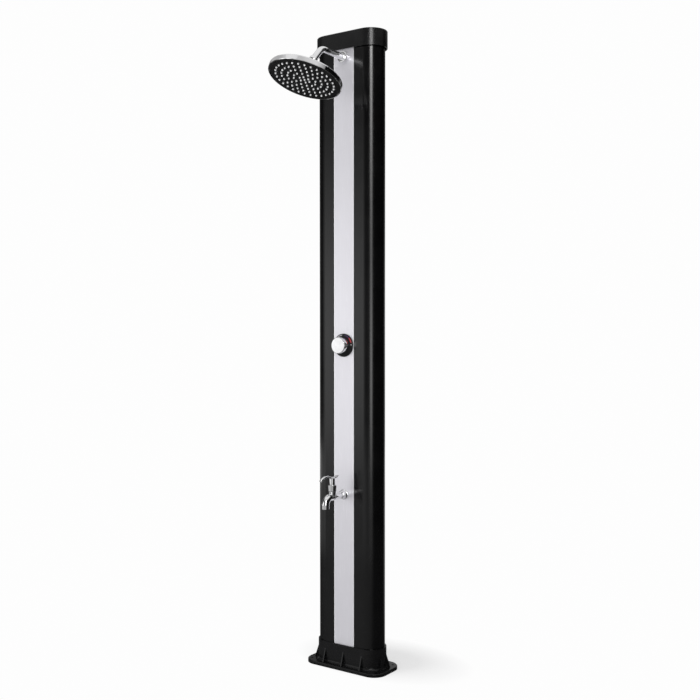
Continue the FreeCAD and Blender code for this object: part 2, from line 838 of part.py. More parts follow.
def make_tap_body():
    # tail, hexagon, barrel, valve chamber and bent spout as one casting
    start = Vec(0, lip_back + elbow_well - 2, tap_height)
    hex_start = Vec(0, front_y - tap_flange_depth, tap_height)
    hex_end = hex_start + FRONT * hex_length
    tail = rod(tap_thread / 2, start, hex_start)
    nut = hexagon(tap_hex, hex_start, hex_end)
    barrel_length = tap_reach - tap_flange_depth - hex_length
    neck = turned([(0, 0), (tap_barrel / 2 - 0.8, 0), (tap_barrel / 2 + 0.2, neck_swell),
                   (spout_radius - 0.4, barrel_length), (0, barrel_length)], hex_end, FRONT)
    chamber = rod(spout_radius - 0.1, on_valve(tap_height - 4), on_valve(bonnet_base))
    spout_top = Vec(0, valve_y - spout_overhang, tap_height + spout_rise)
    path = [Vec(0, valve_y, tap_height + spout_rise), spout_top,
            Vec(0, spout_top.y, tap_height - spout_drop)]
    spout = bent_bar(path, [spout_bend], spout_radius)
    ball = Part.makeSphere(spout_radius, Vec(0, valve_y, tap_height + spout_rise))
    body = joined([tail, nut, neck, chamber, ball, spout])
    outlet = path[-1]
    bore = rod(spout_bore, outlet - UP, outlet + Vec(0, 0, 12))
    well = rod(chamber_bore, on_valve(disc_floor), on_valve(bonnet_base + 1))
    return without(body, [bore, well])


def make_tap_outlet():
    # straightener ring in the spout's mouth
    mouth = Vec(0, valve_y - spout_overhang, tap_height - spout_drop)
    ring = tube(spout_bore - running_gap, spout_bore - 2, mouth + Vec(0, 0, 1.5), mouth + Vec(0, 0, 12))
    bars = [box(-spout_bore + 1.5, spout_bore - 1.5, mouth.y - 0.5, mouth.y + 0.5, mouth.z + 3,
                mouth.z + 8),
            box(-0.5, 0.5, mouth.y - spout_bore + 1.5, mouth.y + spout_bore - 1.5, mouth.z + 3,
                mouth.z + 8)]
    return joined([ring] + bars)


def make_tap_fixed_disc():
    return rod(chamber_bore - running_gap, on_valve(disc_floor), on_valve(disc_floor + disc_thickness))


def make_tap_turning_disc():
    low = disc_floor + disc_thickness + turning_gap
    return rod(chamber_bore - 1.5, on_valve(low), on_valve(low + disc_thickness))


def make_tap_bonnet():
    # cup over the valve, with a threaded neck down into the body
    neck_low = disc_floor + disc_thickness + seat_gap
    neck = chamber_bore - running_gap
    inside = bonnet_radius - 3.8
    web = bonnet_base + 6
    profile = [(spindle_radius + running_gap, web - 5), (chamber_bore - 1.2, web - 5),
               (chamber_bore - 1.2, neck_low), (neck, neck_low), (neck, bonnet_base),
               (spout_radius, bonnet_base), ((spout_radius + 0.9, bonnet_base + 3),
                (spout_radius + 1.2, bonnet_base + 6)), (bonnet_radius, bonnet_rim - 1),
               (bonnet_radius - 1, bonnet_rim), (inside, bonnet_rim), (inside, web),
               (spindle_radius + running_gap, web)]
    return turned(profile, Vec(0, valve_y, 0), UP)


def make_tap_spindle():
    low = disc_floor + 2 * disc_thickness + turning_gap
    foot = rod(chamber_bore - 2, on_valve(low), on_valve(low + 2))
    stem = rod(spindle_radius, on_valve(low), on_valve(lever_hub_top - 4))
    return joined([foot, stem])


def make_lever_bar():
    # oval sections square to the lever's line, joined into one smooth arm
    rings = []
    for i, (along, rise, half_width, half_height) in enumerate(lever_sections):
        before = lever_sections[max(i - 1, 0)]
        after = lever_sections[min(i + 1, len(lever_sections) - 1)]
        run = Vec(after[0] - before[0], 0, after[1] - before[1])
        ring = Part.Wire([Part.Ellipse(Vec(0, 0, 0), half_width, half_height).toShape()])
        turn = FreeCAD.Rotation(Vec(0, 1, 0), Vec(-run.z, 0, run.x), run, "ZXY")
        ring.Placement = FreeCAD.Placement(Vec(along, 0, lever_hub_top + rise), turn)
        rings.append(ring)
    return Part.makeLoft(rings, True, False)


lever_top = lever_hub_top + lever_sections[4][1] + lever_sections[4][3]


def make_tap_lever():
    # a swept arm over a round hub that drops into the bonnet's cup
    hub = turned([(0, lever_hub_low), (lever_hub + 0.7, lever_hub_low),
                  (lever_hub, lever_hub_low + 9), (lever_hub, lever_hub_top - 1),
                  (lever_hub - 1, lever_hub_top), (0, lever_hub_top)], Vec(0, 0, 0), UP)
    lever = joined([make_lever_bar(), hub])
    base = Vec(0, 0, lever_hub_low - 1)
    well = rod(spindle_radius + running_gap, base, Vec(0, 0, lever_hub_top - 3.5))
    screw_hole = rod(1.55, base, Vec(0, 0, lever_top + 1))
    head_seat = rod(lever_screw_head + 0.2, Vec(0, 0, lever_top - lever_screw_recess),
                    Vec(0, 0, lever_top + 1))
    lever = without(lever, [well, screw_hole, head_seat])
    lever.rotate(Vec(0, 0, 0), UP, -90 - lever_turn)
    lever.translate(Vec(0, valve_y, 0))
    return lever


def make_lever_screw():
    seat = lever_top - lever_screw_recess
    r = lever_screw_head
    head = turned([(0, seat), (r, seat), (r, seat + 1.2), ((r * 0.56, seat + 1.9), (0, seat + 2.1))],
                  Vec(0, valve_y, 0), UP)
    shank = rod(1.5, on_valve(lever_hub_top - 3.8), on_valve(seat))
    slot = box(-0.4, 0.4, valve_y - 4, valve_y + 4, seat + 1.2, seat + 4)
    return joined([head, shank]).cut(slot)


# ---- shower arm and ball joint --------------------------------------------------------------

arm_out = Vec(0, -math.cos(math.radians(arm_angle)), -math.sin(math.radians(arm_angle)))
arm_start = Vec(0, pipe_y - 5, arm_height)
arm_corner = Vec(0, front_y - arm_reach, arm_height)
arm_end = arm_corner + arm_out * arm_run
ball_centre = arm_corner + arm_out * ball_offset


def make_arm_elbow():
    # brass wall elbow: riser in from below, arm out to the front
    middle = Vec(0, pipe_y, arm_height)
    mouth = Vec(0, lip_back, arm_height)
    foot = Vec(0, channel_back, arm_height)
    low = middle - Vec(0, 0, arm_radius + arm_socket)
    body = joined([rod(socket_radius, middle, low), rod(arm_radius + 2.3, middle, mouth),
                   rod(arm_radius + 2.3, middle, foot)])
    return without(body, [rod(pipe_bore, low - UP, middle - Vec(0, 0, arm_radius + 1)),
                          rod(arm_radius + running_gap, arm_start, mouth + FRONT),
                          rod(waterway_radius, middle - Vec(0, 0, arm_radius + 2), middle),
                          rod(waterway_radius, middle, arm_start)])


def make_arm_escutcheon():
    # a shallow turned cup over the hole in the panel
    r, d = escutcheon_radius, escutcheon_depth
    hole = arm_radius + running_gap
    w = escutcheon_wall
    profile = [(r, 0), (r, d - 4), ((r - 1.2, d - 1.2), (r - 4, d)), (hole, d), (hole, d - w),
               (r - 3 - w, d - w), (r - w, d - 3 - w), (r - w, 0)]
    return turned(profile, Vec(0, front_y, arm_height), FRONT)


def make_shower_arm():
    return bent_pipe([arm_start, arm_corner, arm_end], [arm_bend], arm_radius, arm_wall)


def make_arm_washer():
    return tube(arm_radius - 0.5, arm_radius - 4, arm_end, arm_end + arm_out * joint_washer)


def make_ball_stud():
    # union nut with a stud and ball, one turned piece
    r = joint_nut / 2
    back = -joint_nut_grip
    floor = joint_washer
    end = joint_nut_length + back
    ball = ball_offset - arm_run
    profile = [(arm_radius + running_gap, back), (r, back), (r, end - 2.5), (r - 2.5, end),
               (stud_radius, end + 1), (stud_radius, ball), (0, ball), (0, floor),
               (arm_radius + running_gap, floor)]
    nut = turned(profile, arm_end, arm_out)
    sphere = Part.makeSphere(ball_radius, ball_centre)
    waterway = rod(stud_waterway, arm_end, ball_centre + arm_out * (ball_radius + 1))
    return joined([nut, sphere]).cut(waterway)


# ---- shower head ----------------------------------------------------------------------------

# drawn with the spray face at zero, the neck up, and the ball's centre on the axis
def posed_head(shape):
    shape.translate(Vec(0, 0, -head_to_ball))
    shape.rotate(Vec(0, 0, 0), RIGHT, -head_tilt)
    shape.rotate(Vec(0, 0, 0), Vec(0, 1, 0), head_lean)
    shape.translate(ball_centre)
    return shape


seat_outer = ball_radius + seat_gap + seat_wall
seat_low = head_to_ball - seat_below
seat_high = head_to_ball + seat_above


def sphere_at(radius):
    return Part.makeSphere(radius, Vec(0, 0, head_to_ball))


def make_ball_seat():
    # plastic liner between the ball and the neck, a band of a hollow sphere
    band = rod(seat_outer + 1, Vec(0, 0, seat_low), Vec(0, 0, seat_high))
    seat = sphere_at(seat_outer).cut(sphere_at(ball_radius + running_gap))
    return posed_head(seat.common(band))


def make_ball_ring():
    # knurled retaining ring, screwed on the neck, with a flared mouth for the stud
    base = head_to_ball - ring_below
    top = head_to_ball + ring_nut_top
    shoulder = head_to_ball + ring_shoulder
    r = ring_nut_radius
    mouth = math.sqrt(ball_radius ** 2 - mouth_height ** 2) + seat_gap
    profile = [(neck_radius + running_gap, base), (r, base), (r, top - 4), (r - 4, top),
               (mouth + 2.2, top), (mouth, head_to_ball + mouth_height), (mouth, shoulder + 3.5),
               (neck_radius + running_gap, shoulder)]
    ring = turned(profile, Vec(0, 0, 0), UP)
    ring = ring.cut(sphere_at(seat_outer + running_gap))
    grooves = []
    for i in range(ring_grooves):
        turn = 2 * math.pi * i / ring_grooves
        at = Vec(math.cos(turn), math.sin(turn), 0) * (r + groove_radius / 2)
        grooves.append(rod(groove_radius, at + Vec(0, 0, base - 1), at + Vec(0, 0, top - 5)))
    return posed_head(without(ring, grooves))


def make_head_shell():
    # thin domed shell with a rolled rim and a socket neck for the ball
    r, h, w = head_radius, head_rim, head_wall
    top = head_to_ball - neck_drop
    neck_top = head_to_ball + ring_shoulder - 0.5
    socket = seat_outer - 0.4
    floor = top - w - 2
    over = plate_recess + plate_thickness
    mid = dome_middle
    profile = [(r - 1.0, 0), (r, 1.2), (r, h - 5), ((r - 1.6, h - 1.6), (r - 6, h)),
               ((mid, h + dome_rise), (dome_top, top - 4)),
               ((dome_top - 7, top - 1.5), (neck_radius + 3.5, top)),
               (neck_radius, top + 1.5), (neck_radius, neck_top), (socket, neck_top),
               (socket, floor), (dome_top - 10, floor), (dome_top, top - 4 - w),
               ((mid, h + dome_rise - w), (r - 6.5, h - w)), (r - w, h - 6),
               (r - w, over + ledge_lip), (plate_radius - 3, over + ledge_lip),
               (plate_radius - 3, over), (r - w, over), (r - w, 0.4)]
    shell = turned(profile, Vec(0, 0, 0), UP)
    return posed_head(shell.cut(sphere_at(seat_outer + running_gap)))


def nozzle_spots():
    # one in the middle, then rings that each hold six more than the last
    spots = [Vec(0, 0, 0)]
    rings = int((plate_radius - nozzle_margin - nozzle_first) / nozzle_pitch) + 1
    for ring in range(rings):
        radius = nozzle_first + ring * nozzle_pitch
        count = 6 * (ring + 1)
        for i in range(count):
            turn = 2 * math.pi * i / count + math.radians(nozzle_turn)
            spots.append(Vec(radius * math.cos(turn), radius * math.sin(turn), 0))
    return spots


def make_spray_plate():
    low = plate_recess
    high = plate_recess + plate_thickness
    plate = turned([(0, low), (plate_radius - 1.2, low), (plate_radius, low + 1.2),
                    (plate_radius, high - running_gap), (0, high - running_gap)], Vec(0, 0, 0), UP)
    return posed_head(plate)


def make_plate_gasket():
    low = plate_recess + plate_thickness
    return posed_head(tube(plate_radius - 3.5, plate_radius - 8, Vec(0, 0, low),
                           Vec(0, 0, low + ledge_lip)))


def make_spray_nozzles():
    nubs = []
    for spot in nozzle_spots():
        base = spot + Vec(0, 0, plate_recess)
        nub = Part.makeCone(nozzle_radius, nozzle_radius * 0.7, nozzle_length, base, Vec(0, 0, -1))
        nubs.append(posed_head(nub))
    return nubs


# ---- output ---------------------------------------------------------------------------------

nodes = {
    "column_shell": make_column_shell,
    "front_panel": make_front_panel,
    "tank_top_plug": make_tank_top_plug,
    "tank_bottom_plug": make_tank_bottom_plug,
    "tank_top_seal": lambda: make_seal(top_plug_base),
    "tank_bottom_seal": lambda: make_seal(tank_floor),
    "top_cap": make_top_cap,
    "base_foot": make_base_foot,
    "cap_screws": make_cap_screws,
    "foot_screws": make_foot_screws,
    "inlet_fitting": make_inlet_fitting,
    "inlet_washer": make_inlet_washer,
    "inlet_locknut": make_inlet_locknut,
    "inlet_tee": make_inlet_tee,
    "fill_pipe": make_fill_pipe,
    "cold_pipe": make_cold_pipe,
    "hot_pipe": make_hot_pipe,
    "riser_pipe": make_riser_pipe,
    "drain_elbow": make_drain_elbow,
    "drain_washer": make_drain_washer,
    "drain_cap": make_drain_cap,
    "mixer_body": make_mixer_body,
    "mixer_cartridge": make_mixer_cartridge,
    "mixer_locknut": make_mixer_locknut,
    "dial_gasket": make_dial_gasket,
    "dial_ring": make_dial_ring,
    "mixer_spindle": make_mixer_spindle,
    "mixer_knob": make_mixer_knob,
    "knob_screw": make_knob_screw,
    "tap_elbow": make_tap_elbow,
    "tap_flange": make_tap_flange,
    "tap_body": make_tap_body,
    "tap_outlet": make_tap_outlet,
    "tap_bonnet": make_tap_bonnet,
    "tap_fixed_disc": make_tap_fixed_disc,
    "tap_turning_disc": make_tap_turning_disc,
    "tap_spindle": make_tap_spindle,
    "tap_lever": make_tap_lever,
    "lever_screw": make_lever_screw,
    "arm_elbow": make_arm_elbow,
    "arm_escutcheon": make_arm_escutcheon,
    "shower_arm": make_shower_arm,
    "arm_washer": make_arm_washer,
    "ball_stud": make_ball_stud,
    "ball_seat": make_ball_seat,
    "ball_ring": make_ball_ring,
    "head_shell": make_head_shell,
    "plate_gasket": make_plate_gasket,
    "spray_plate": make_spray_plate,
    "spray_nozzles": make_spray_nozzles,
}

os.makedirs("parts", exist_ok=True)
for name, make in nodes.items():
    made = make()
    shape = Part.makeCompound(made) if isinstance(made, list) else made
    shape.exportStep("parts/" + name + ".step")
    print(name, "solids", len(shape.Solids), "volume", round(shape.Volume, 1), "valid",
          shape.isValid())
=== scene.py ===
import bpy
import json
import math
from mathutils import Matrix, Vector


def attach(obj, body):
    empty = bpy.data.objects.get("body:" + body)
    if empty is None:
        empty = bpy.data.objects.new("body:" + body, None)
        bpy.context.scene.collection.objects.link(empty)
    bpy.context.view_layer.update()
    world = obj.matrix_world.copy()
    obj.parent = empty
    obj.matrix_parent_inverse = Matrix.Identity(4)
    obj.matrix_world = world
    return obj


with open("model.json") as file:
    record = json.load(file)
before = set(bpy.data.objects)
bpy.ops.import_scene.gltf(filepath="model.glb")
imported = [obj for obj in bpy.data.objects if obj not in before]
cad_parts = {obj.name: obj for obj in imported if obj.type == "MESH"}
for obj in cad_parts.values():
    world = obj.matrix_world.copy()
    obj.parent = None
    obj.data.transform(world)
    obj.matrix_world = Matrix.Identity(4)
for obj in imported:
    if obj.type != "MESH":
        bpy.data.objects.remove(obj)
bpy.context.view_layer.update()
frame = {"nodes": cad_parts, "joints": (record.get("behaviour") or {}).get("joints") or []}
nodes = frame["nodes"]
print("frame loaded,", len(nodes), "nodes")


# small helpers for node materials

noiseLow, noiseHigh = 0.3, 0.7    # nearly all of a noise lies between these


def newFinish(name):
    finish = bpy.data.materials.new(name)
    finish.use_nodes = True
    return finish, finish.node_tree, finish.node_tree.nodes["Principled BSDF"]


def addNode(tree, kind, settings=None, **inputs):
    node = tree.nodes.new("ShaderNode" + kind)
    for key, value in (settings or {}).items():
        setattr(node, key, value)
    for key, value in inputs.items():
        node.inputs[key].default_value = value
    return node


def objectSpace(tree, scale=(1, 1, 1), shift=(0, 0, 0)):
    # object coordinates in metres, scaled along each axis and then moved
    where = addNode(tree, "TexCoord")
    mapping = addNode(tree, "Mapping", Scale=scale, Location=shift)
    tree.links.new(where.outputs["Object"], mapping.inputs["Vector"])
    return mapping.outputs["Vector"]


def axesOf(tree, vector):
    split = addNode(tree, "SeparateXYZ")
    tree.links.new(vector, split.inputs["Vector"])
    return split.outputs


def mathOf(tree, operation, first, second=None):
    node = addNode(tree, "Math", {"operation": operation})
    tree.links.new(first, node.inputs[0])
    if second is not None:
        tree.links.new(second, node.inputs[1])
    return node.outputs[0]


def noiseOf(tree, vector, scale, detail, rough=0.5):
    noise = addNode(tree, "TexNoise", Scale=scale, Detail=detail, Roughness=rough)
    tree.links.new(vector, noise.inputs["Vector"])
    return noise.outputs["Fac"]


def streaksOf(tree, scale, detail, rough=0.5):
    # a noise drawn out along the axis where its scale is lowest
    return noiseOf(tree, objectSpace(tree, scale), 1.0, detail, rough)


def spread(tree, value, low, high, fromLow=noiseLow, fromHigh=noiseHigh):
    # takes a value from one range to another and stops at its ends
    ranged = addNode(tree, "MapRange", **{"From Min": fromLow, "From Max": fromHigh,
                                          "To Min": low, "To Max": high})
    tree.links.new(value, ranged.inputs["Value"])
    return ranged.outputs["Result"]


def colourRamp(tree, value, stops):
    ramp = addNode(tree, "ValToRGB")
    points = ramp.color_ramp.elements
    for point, (place, tone) in zip(points, (stops[0], stops[-1])):
        point.position = place
        point.color = (*tone, 1)
    for place, tone in stops[1:-1]:
        points.new(place).color = (*tone, 1)
    tree.links.new(value, ramp.inputs["Fac"])
    return ramp.outputs["Color"]


def twoTone(tree, value, look):
    return colourRamp(tree, value, ((noiseLow, look["dark"]), (noiseHigh, look["light"])))


def tinted(tree, shader, value, look):
    tree.links.new(twoTone(tree, value, look), shader.inputs["Base Color"])


def roughened(tree, shader, value, look):
    tree.links.new(spread(tree, value, *look["rough"]), shader.inputs["Roughness"])


def bumped(tree, shader, heights, strength, depth):
    # one bump on top of another, finest last
    normal = None
    for height in heights:
        bump = addNode(tree, "Bump", Strength=strength, Distance=depth)
        tree.links.new(height, bump.inputs["Height"])
        if normal is not None:
            tree.links.new(normal, bump.inputs["Normal"])
        normal = bump.outputs["Normal"]
    tree.links.new(normal, shader.inputs["Normal"])


def dress(finish, *names):
    for name in names:
        node = nodes[name]
        node.data.materials.clear()
        node.data.materials.append(finish)


# camera, at the photograph's angle

photoView = {
    "place": (1.9899, -2.81248, 1.17136),
    "turn": (88.6958, 0.0179, 35.3998),    # degrees about x, y and z
    "lens": 51.35,
    "sensor": 36.0,
}


def makeCamera(look):
    camera = bpy.data.objects.new("photoCamera", bpy.data.cameras.new("photoCamera"))
    bpy.context.scene.collection.objects.link(camera)
    camera.location = look["place"]
    camera.rotation_euler = [math.radians(angle) for angle in look["turn"]]
    camera.data.lens = look["lens"]
    camera.data.sensor_width = look["sensor"]
    bpy.context.scene.camera = camera


makeCamera(photoView)
print("camera set")


# column, cap and foot
# clouds, grain and the like are a noise's scale, detail and roughness, after the stretch if it
# has one; bump is strength and depth in metres

columnLook = {
    "dark": (0.0020, 0.0020, 0.0022),
    "light": (0.0034, 0.0034, 0.0036),
    "rough": (0.16, 0.21),
    "gloss": 0.50,
    "dieLines": ((900, 900, 5), 2),
    "clouds": (14, 3),
    "grain": (1800, 2),
    "bump": (0.12, 0.0001),
}


def columnBlack(look):
    finish, tree, shader = newFinish("columnBlack")
    lines = streaksOf(tree, *look["dieLines"])
    plain = objectSpace(tree)
    clouds = noiseOf(tree, plain, *look["clouds"])
    grain = noiseOf(tree, plain, *look["grain"])
    tinted(tree, shader, clouds, look)
    roughened(tree, shader, clouds, look)
    shader.inputs["Specular IOR Level"].default_value = look["gloss"]
    bumped(tree, shader, (lines, grain), *look["bump"])
    return finish


# what the mould gives the cap and the foot alike
mouldLook = {
    "clouds": (22, 3),
    "flow": ((40, 40, 9), 1),
    "bump": (0.12, 0.0001),
}

capLook = {
    **mouldLook,
    "dark": (0.0030, 0.0030, 0.0032),
    "light": (0.0052, 0.0052, 0.0055),
    "gloss": 0.52,
    "rough": (0.22, 0.27),
    "pits": (2400, 3, 0.6),
}

footLook = {
    **mouldLook,
    "dark": (0.0056, 0.0056, 0.0059),
    "light": (0.0080, 0.0080, 0.0084),
    "gloss": 0.30,
    "rough": (0.20, 0.27),
    "pits": (1500, 3, 0.6),
}


def mouldedBlack(name, look):
    finish, tree, shader = newFinish(name)
    plain = objectSpace(tree)
    clouds = noiseOf(tree, plain, *look["clouds"])
    pits = noiseOf(tree, plain, *look["pits"])
    flow = streaksOf(tree, *look["flow"])
    tinted(tree, shader, clouds, look)
    roughened(tree, shader, clouds, look)
    shader.inputs["Specular IOR Level"].default_value = look["gloss"]
    bumped(tree, shader, (flow, pits), *look["bump"])
    return finish


# strip down the front

stripLook = {
    "dark": (0.685, 0.675, 0.716),
    "light": (0.712, 0.703, 0.744),
    "rough": (0.22, 0.28),
    "metal": 0.20,
    "brush": ((2600, 2600, 14), 3, 0.6),
    "clouds": ((9, 9, 3), 2),
    "bump": (0.10, 0.00005),
    # painted highlight: the near-white tone painted along both long edges, for light caught by their
    # bevels
    "edge": (0.97, 0.97, 0.985),
    "edgeReach": (0.0380, 0.0395),    # from the middle of the strip, in metres
}


def silverStrip(look):
    # anodised strip, faintly brushed along its length
    finish, tree, shader = newFinish("silverStrip")
    brush = streaksOf(tree, *look["brush"])
    tone = twoTone(tree, streaksOf(tree, *look["clouds"]), look)
    # painted highlight: the two long edges are painted brighter, standing in for light that their
    # bevels catch
    side = mathOf(tree, "ABSOLUTE", axesOf(tree, objectSpace(tree))["X"])
    edge = spread(tree, side, 0, 1, *look["edgeReach"])
    mix = addNode(tree, "MixRGB", Color2=(*look["edge"], 1))
    tree.links.new(edge, mix.inputs["Fac"])
    tree.links.new(tone, mix.inputs["Color1"])
    tree.links.new(mix.outputs["Color"], shader.inputs["Base Color"])
    roughened(tree, shader, brush, look)
    shader.inputs["Metallic"].default_value = look["metal"]
    bumped(tree, shader, (brush,), *look["bump"])
    return finish


dress(columnBlack(columnLook), "column_shell")
dress(mouldedBlack("capBlack", capLook), "top_cap")
dress(mouldedBlack("footBlack", footLook), "base_foot")
dress(silverStrip(stripLook), "front_panel")
print("column, cap, foot and strip finished")


# chromed pieces

chromeLook = {
    "dark": (0.86, 0.86, 0.87),
    "light": (0.93, 0.93, 0.94),
    "rough": (0.03, 0.08),
    "metal": 1.0,
    "smears": (60, 4),
    "waves": (130, 1),
    "bump": (0.04, 0.0002),
}


def polishedChrome(look):
    finish, tree, shader = newFinish("polishedChrome")
    plain = objectSpace(tree)
    smears = noiseOf(tree, plain, *look["smears"])
    waves = noiseOf(tree, plain, *look["waves"])
    tinted(tree, shader, smears, look)
    roughened(tree, shader, smears, look)
    shader.inputs["Metallic"].default_value = look["metal"]
    bumped(tree, shader, (waves,), *look["bump"])
    return finish


dress(polishedChrome(chromeLook), "mixer_knob", "tap_flange", "tap_body", "tap_bonnet", "tap_lever",
      "arm_escutcheon", "shower_arm", "ball_stud", "ball_ring", "head_shell")


# spray face and its nozzles

sprayLook = {
    "dark": (0.003, 0.003, 0.0033),
    "light": (0.005, 0.005, 0.0054),
    "rough": (0.32, 0.42),
    "gloss": 0.35,
    "clouds": (30, 2),
    "grain": (2600, 2),
    "bump": (0.12, 0.00008),
}

nozzleLook = {
    "dark": (0.90, 0.905, 0.91),
    "light": (0.96, 0.965, 0.97),
    "rough": (0.40, 0.52),
    "clouds": (400, 2),
    "bump": (0.10, 0.0001),
}


def mattBlack(name, look):
    # the clouds tint it, only the grain is felt
    finish, tree, shader = newFinish(name)
    plain = objectSpace(tree)
    clouds = noiseOf(tree, plain, *look["clouds"])
    grain = noiseOf(tree, plain, *look["grain"])
    tinted(tree, shader, clouds, look)
    roughened(tree, shader, clouds, look)
    shader.inputs["Specular IOR Level"].default_value = look["gloss"]
    bumped(tree, shader, (grain,), *look["bump"])
    return finish


def nozzleWhite(look):
    finish, tree, shader = newFinish("nozzleWhite")
    clouds = noiseOf(tree, objectSpace(tree), *look["clouds"])
    tinted(tree, shader, clouds, look)
    roughened(tree, shader, clouds, look)
    bumped(tree, shader, (clouds,), *look["bump"])
    return finish


dress(mattBlack("sprayFaceBlack", sprayLook), "spray_plate")
dress(nozzleWhite(nozzleLook), "spray_nozzles")
print("chrome and spray face finished")


# hidden and small pieces

brassLook = {
    "dark": (0.50, 0.36, 0.16), "light": (0.66, 0.50, 0.24),
    "rough": (0.27, 0.39), "metal": 1.0, "mottle": 90,
}

steelLook = {
    "dark": (0.42, 0.42, 0.43), "light": (0.60, 0.60, 0.62),
    "rough": (0.25, 0.37), "metal": 1.0, "mottle": 300,
}

pipeLook = {
    "dark": (0.62, 0.62, 0.60), "light": (0.72, 0.72, 0.70),
    "rough": (0.40, 0.52), "metal": 0.0, "mottle": 60,
}

rubberLook = {
    "dark": (0.012, 0.012, 0.012), "light": (0.024, 0.024, 0.024),
    "rough": (0.65, 0.77), "metal": 0.0, "mottle": 200,
}

plugLook = {
    "dark": (0.030, 0.030, 0.031), "light": (0.045, 0.045, 0.046),
    "rough": (0.45, 0.57), "metal": 0.0, "mottle": 60,
}

nylonLook = {
    "dark": (0.55, 0.54, 0.50), "light": (0.66, 0.65, 0.61),
    "rough": (0.40, 0.52), "metal": 0.0, "mottle": 120,
}

ceramicLook = {
    "dark": (0.74, 0.72, 0.67), "light": (0.82, 0.80, 0.76),
    "rough": (0.15, 0.27), "metal": 0.0, "mottle": 150,
}

# the same on all of them
surfaceLook = {
    "mottleDetail": 3,
    "grainShare": 12,    # how much finer the grain is than the mottle
    "grainDetail": 2,
    "bump": (0.15, 0.0001),
}


def plainFinish(name, look, surface=surfaceLook):
    # mottled tone, uneven gloss and a fine grain, at the piece's own scale
    finish, tree, shader = newFinish(name)
    plain = objectSpace(tree)
    mottle = noiseOf(tree, plain, look["mottle"], surface["mottleDetail"])
    grain = noiseOf(tree, plain, look["mottle"] * surface["grainShare"], surface["grainDetail"])
    tinted(tree, shader, mottle, look)
    roughened(tree, shader, mottle, look)
    shader.inputs["Metallic"].default_value = look["metal"]
    bumped(tree, shader, (mottle, grain), *surface["bump"])
    return finish


dress(plainFinish("castBrass", brassLook), "inlet_fitting", "inlet_locknut", "mixer_body",
      "mixer_locknut", "mixer_spindle", "tap_elbow", "tap_spindle", "arm_elbow")
dress(plainFinish("screwSteel", steelLook), "cap_screws", "foot_screws", "knob_screw", "lever_screw")
dress(plainFinish("pipeWhite", pipeLook), "inlet_tee", "fill_pipe", "cold_pipe", "hot_pipe",
      "riser_pipe")
dress(plainFinish("sealRubber", rubberLook), "tank_top_seal", "tank_bottom_seal", "inlet_washer",
      "drain_washer", "dial_gasket", "arm_washer", "plate_gasket")
dress(plainFinish("plugPlastic", plugLook), "tank_top_plug", "tank_bottom_plug", "drain_elbow",
      "drain_cap")
dress(plainFinish("cartridgeNylon", nylonLook), "mixer_cartridge", "tap_outlet", "ball_seat")
dress(plainFinish("discCeramic", ceramicLook), "tap_fixed_disc", "tap_turning_disc")
print("hidden pieces finished")


# temperature dial

dialLook = {
    "dark": (0.0040, 0.0040, 0.0044),
    "light": (0.0065, 0.0065, 0.0070),
    "rough": (0.41, 0.51),
    "gloss": 0.3,
    "clouds": (50, 2),
    "grain": (3000, 2),
    "bump": (0.15, 0.00006),
}

knobAxis = next(joint["pos_m"] for joint in frame["joints"] if joint["name"] == "mixer_turn")

# prints on the dial's cone, in metres, and in degrees from the top towards the right
marksLook = {
    "centreX": knobAxis[0], "centreZ": knobAxis[2],
    "outerR": 0.0383, "outerY": -0.0532,     # foot of the cone
    "innerR": 0.0280, "innerY": -0.0580,     # top of the cone
    "lift": 0.00006,                         # how far a print stands off the cone
    "bandReach": (0.0332, 0.0370),
    "bandEnds": (8, 77),
    "bandSteps": 60,
    "tickReach": (0.0322, 0.0364),
    "tickTurns": (-39, -31, -23, -15, -7, 87),
    "tickWidth": 3.6,
    "tickSteps": 3,
}

# dark through violet to red; the fade's ends are radians round the knob's axis
bandLook = {
    "fade": (0.1, 1.36),
    "rough": 0.45,
    "stops": ((0.0, (0.012, 0.011, 0.016)), (0.22, (0.040, 0.018, 0.070)),
              (0.38, (0.050, 0.016, 0.100)), (0.50, (0.040, 0.010, 0.050)),
              (0.58, (0.420, 0.020, 0.030)), (0.90, (0.560, 0.030, 0.040)),
              (1.0, (0.160, 0.012, 0.016))),
}

tickLook = {
    "dark": (0.60, 0.60, 0.62), "light": (0.76, 0.76, 0.78),
    "rough": (0.45, 0.57), "metal": 0.0, "mottle": 300,
}


def onCone(look, radius, angle):
    along = (look["outerR"] - radius) / (look["outerR"] - look["innerR"])
    y = look["outerY"] + (look["innerY"] - look["outerY"]) * along - look["lift"]
    turn = math.radians(angle)
    return (look["centreX"] + radius * math.sin(turn), y,
            look["centreZ"] + radius * math.cos(turn))


def conePatch(look, reach, start, end, steps):
    # a thin print between two radii, in as many flat quads as steps
    verts = []
    faces = []
    for i in range(steps + 1):
        angle = start + (end - start) * i / steps
        verts += [onCone(look, radius, angle) for radius in reach]
        if i:
            k = 2 * i
            faces.append((k - 2, k, k + 1, k - 1))
    return verts, faces


def printedMarks(name, patches):
    verts = []
    faces = []
    for patchVerts, patchFaces in patches:
        base = len(verts)
        verts += patchVerts
        faces += [tuple(base + i for i in face) for face in patchFaces]
    mesh = bpy.data.meshes.new(name)
    mesh.from_pydata(verts, [], faces)
    mesh.update()
    marks = bpy.data.objects.new(name, mesh)
    bpy.context.scene.collection.objects.link(marks)
    return marks


def bandInk(look, centreZ):
    finish, tree, shader = newFinish("bandInk")
    axes = axesOf(tree, objectSpace(tree, shift=(0, 0, -centreZ)))
    angle = mathOf(tree, "ARCTAN2", axes["X"], axes["Z"])
    tone = colourRamp(tree, spread(tree, angle, 0, 1, *look["fade"]), look["stops"])
    tree.links.new(tone, shader.inputs["Base Color"])
    shader.inputs["Roughness"].default_value = look["rough"]
    return finish


def makeBand(look):
    patch = conePatch(look, look["bandReach"], *look["bandEnds"], look["bandSteps"])
    band = printedMarks("dialBand", [patch])
    band.data.materials.append(bandInk(bandLook, look["centreZ"]))
    return band


